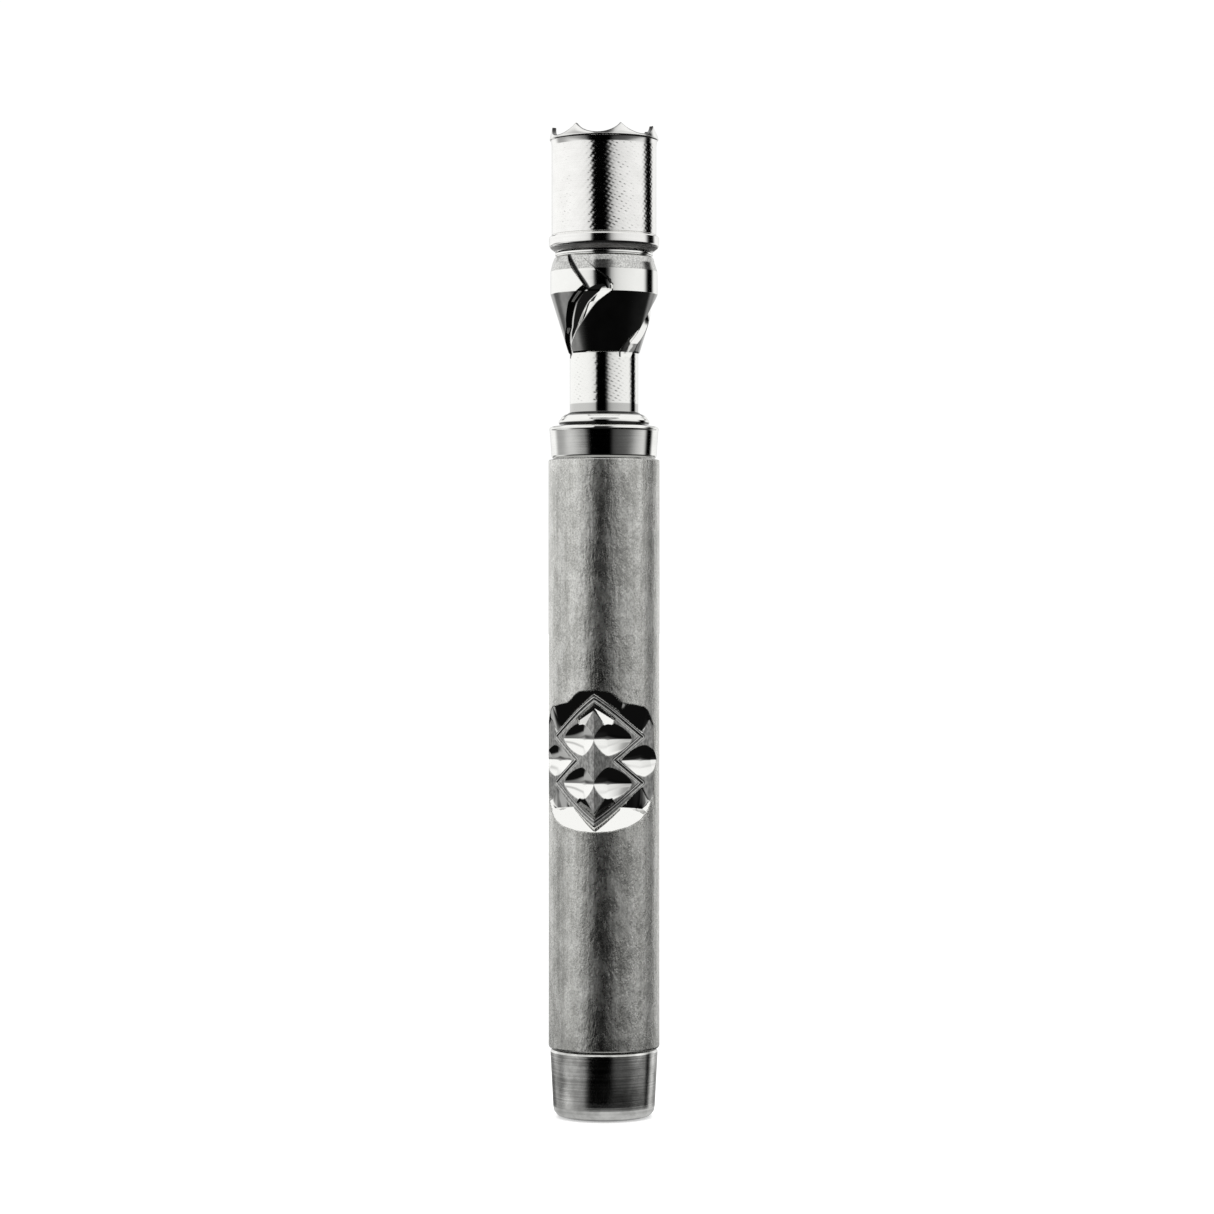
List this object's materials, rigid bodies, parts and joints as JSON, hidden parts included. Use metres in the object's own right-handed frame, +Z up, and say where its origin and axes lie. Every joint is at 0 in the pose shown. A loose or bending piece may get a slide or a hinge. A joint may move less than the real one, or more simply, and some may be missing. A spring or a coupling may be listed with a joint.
{
  "type": "torch-heated vaporizer stem",
  "caption": "Slim turned-metal stem: knurled crown-topped click cap, fluted cone tip, polished collar, matt sleeve with a milled lattice relief, tapered mouthpiece.",
  "frame": {"origin": "centre of the mouthpiece's flat end face, which the stem stands on", "axes": "+Z up the stem's axis towards the cap's crown; the milled thumb relief faces -Y"},
  "size_m": [0.0102, 0.0102, 0.0904],
  "materials": {
    "polished_steel": "bright turned and polished stainless steel",
    "cap_steel": "bright stainless steel, finely knurled",
    "matt_steel": "matt etched stainless steel with a polished milled relief",
    "turned_steel": "as turned",
    "bimetal": "rolled bimetal, straw tint",
    "spring_steel": "spring temper",
    "seal_rubber": "high-temperature silicone"
  },
  "bodies": {
    "mouthpiece": {"mouthpiece": "polished_steel", "condenser_tube": "turned_steel", "condenser_tip_o_ring": "seal_rubber"},
    "mouthpiece_seals": {"mouthpiece_o_ring_upper": "seal_rubber", "mouthpiece_o_ring_lower": "seal_rubber"},
    "body": {"body_sleeve": "matt_steel", "body_liner": "turned_steel", "upper_collar": "polished_steel"},
    "tip_seals": {"tip_o_ring_upper": "seal_rubber", "tip_o_ring_lower": "seal_rubber"},
    "tip": {"tip": "polished_steel", "bowl_screen": "turned_steel"},
    "clip": {"retention_clip": "spring_steel"},
    "cap": {"cap_shell": "cap_steel", "cap_cover_disc": "turned_steel", "snap_disc_outer": "bimetal", "snap_disc_inner": "bimetal"}
  },
  "joints": [
    {"name": "body_spin", "type": "hinge", "parent": "mouthpiece", "child": "mouthpiece_seals", "pos_m": [0, 0, 0.0095], "axis": [0, 0, 1], "continuous": true},
    {"name": "body_slide", "type": "slide", "parent": "mouthpiece_seals", "child": "body", "axis": [0, 0, 1], "range_m": [0, 0.062]},
    {"name": "tip_slide", "type": "slide", "parent": "body", "child": "tip_seals", "axis": [0, 0, 1], "range_m": [0, 0.012]},
    {"name": "tip_spin", "type": "hinge", "parent": "tip_seals", "child": "tip", "pos_m": [0, 0, 0.059], "axis": [0, 0, 1], "continuous": true},
    {"name": "cap_slide", "type": "slide", "parent": "tip", "child": "clip", "axis": [0, 0, 1], "range_m": [0, 0.014]},
    {"name": "cap_spin", "type": "hinge", "parent": "clip", "child": "cap", "pos_m": [0, 0, 0.0853], "axis": [0, 0, 1], "continuous": true}
  ]
}
